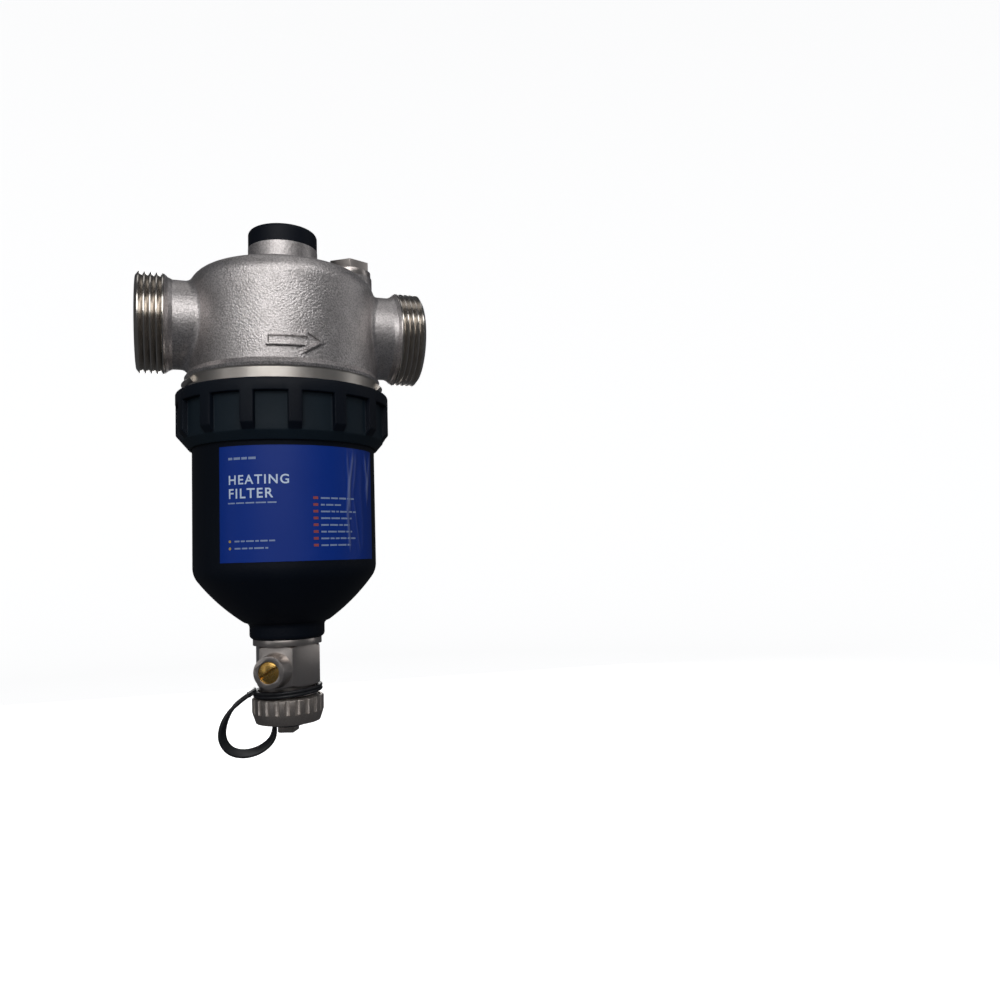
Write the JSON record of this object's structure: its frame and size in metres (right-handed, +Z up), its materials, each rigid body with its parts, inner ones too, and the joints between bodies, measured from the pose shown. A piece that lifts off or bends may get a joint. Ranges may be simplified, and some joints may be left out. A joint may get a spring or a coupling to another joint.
{
  "type": "magnetic system filter",
  "caption": "In-line magnetic filter for a heating circuit: cast head between two threaded pipe ends, unscrewing bowl with drain valve, pull-out magnet core.",
  "frame": {"origin": "where the axis of the pipe run crosses the axis of the bowl", "axes": "+X along the pipe run in the flow direction, +Z up the bowl's axis to the magnet cap, -Y towards the label and drain spindle side"},
  "size_m": [0.12, 0.09, 0.227],
  "materials": {
    "cast_nickel": "bead-blasted cast nickel plate",
    "machined_nickel": "bright machined nickel plate",
    "stainless": "drawn stainless",
    "spring_steel": "plain steel",
    "mesh_steel": "woven stainless",
    "magnet_alloy": "nickel-plated magnet",
    "chromed_ball": "polished",
    "brass": "machined brass",
    "black_plastic": "satin moulded",
    "black_nylon": "moulded glass-filled nylon",
    "white_ptfe": "smooth",
    "rubber_black": "moulded",
    "fibre_seal": "pressed fibre",
    "blue_label": "gloss film"
  },
  "bodies": {
    "head": {"head_body": "cast_nickel", "pocket_tube": "stainless", "pocket_oring": "rubber_black", "pocket_clip": "spring_steel", "flow_diverter": "black_nylon", "vent_plug": "machined_nickel", "vent_gasket": "fibre_seal"},
    "magnet_core": {"magnet_cap": "black_plastic", "carrier_tube": "stainless", "magnets": "magnet_alloy", "pole_spacers": "spring_steel", "carrier_plug": "stainless", "stem_pin": "spring_steel"},
    "bleed_screw": {"bleed_screw": "machined_nickel"},
    "screen": {"screen_cage": "black_nylon", "screen_mesh": "mesh_steel"},
    "bowl": {"bowl": "black_plastic", "rim_gasket": "rubber_black", "label": "blue_label", "drain_body": "machined_nickel", "drain_washer": "fibre_seal", "ball_seats": "white_ptfe", "seat_retainer": "brass", "strap_ring": "rubber_black", "strap_band": "rubber_black"},
    "lock_ring": {"lock_ring": "black_plastic"},
    "drain_spindle": {"drain_ball": "chromed_ball", "drain_spindle": "brass", "spindle_oring": "rubber_black"},
    "cap_carrier": {"cap_gasket": "fibre_seal", "strap_eye": "rubber_black"},
    "drain_cap": {"drain_cap": "machined_nickel"}
  },
  "joints": [
    {"name": "magnet_pull", "type": "slide", "parent": "head", "child": "magnet_core", "axis": [0, 0, 1], "range_m": [0, 0.15]},
    {"name": "bleed_turn", "type": "hinge", "parent": "head", "child": "bleed_screw", "pos_m": [0.03, 0.004, 0.035], "axis": [0, 0, 1], "range_deg": [0, 720]},
    {"name": "bowl_removal", "type": "slide", "parent": "head", "child": "screen", "axis": [0, 0, 1], "range_m": [-0.125, 0]},
    {"name": "bowl_unscrew", "type": "slide", "parent": "screen", "child": "bowl", "axis": [0, 0, 1], "range_m": [-0.009, 0]},
    {"name": "ring_turn", "type": "hinge", "parent": "bowl", "child": "lock_ring", "pos_m": [0, 0, -0.041], "axis": [0, 0, 1], "range_deg": [-1080, 0]},
    {"name": "drain_turn", "type": "hinge", "parent": "bowl", "child": "drain_spindle", "pos_m": [0, 0, -0.1466], "axis": [-0.5, -0.866, 0], "range_deg": [-33, 57]},
    {"name": "cap_drop", "type": "slide", "parent": "bowl", "child": "cap_carrier", "axis": [0, 0, 1], "range_m": [-0.0073, 0], "deforming": ["strap_band"]},
    {"name": "cap_turn", "type": "hinge", "parent": "cap_carrier", "child": "drain_cap", "pos_m": [0, 0, -0.164], "axis": [0, 0, 1], "range_deg": [-1440, 0]}
  ],
  "couplings": [
    {"joint": "bowl_unscrew", "follows": "ring_turn", "m_per_rad": 0.000477},
    {"joint": "cap_drop", "follows": "cap_turn", "m_per_rad": 0.0002887}
  ]
}
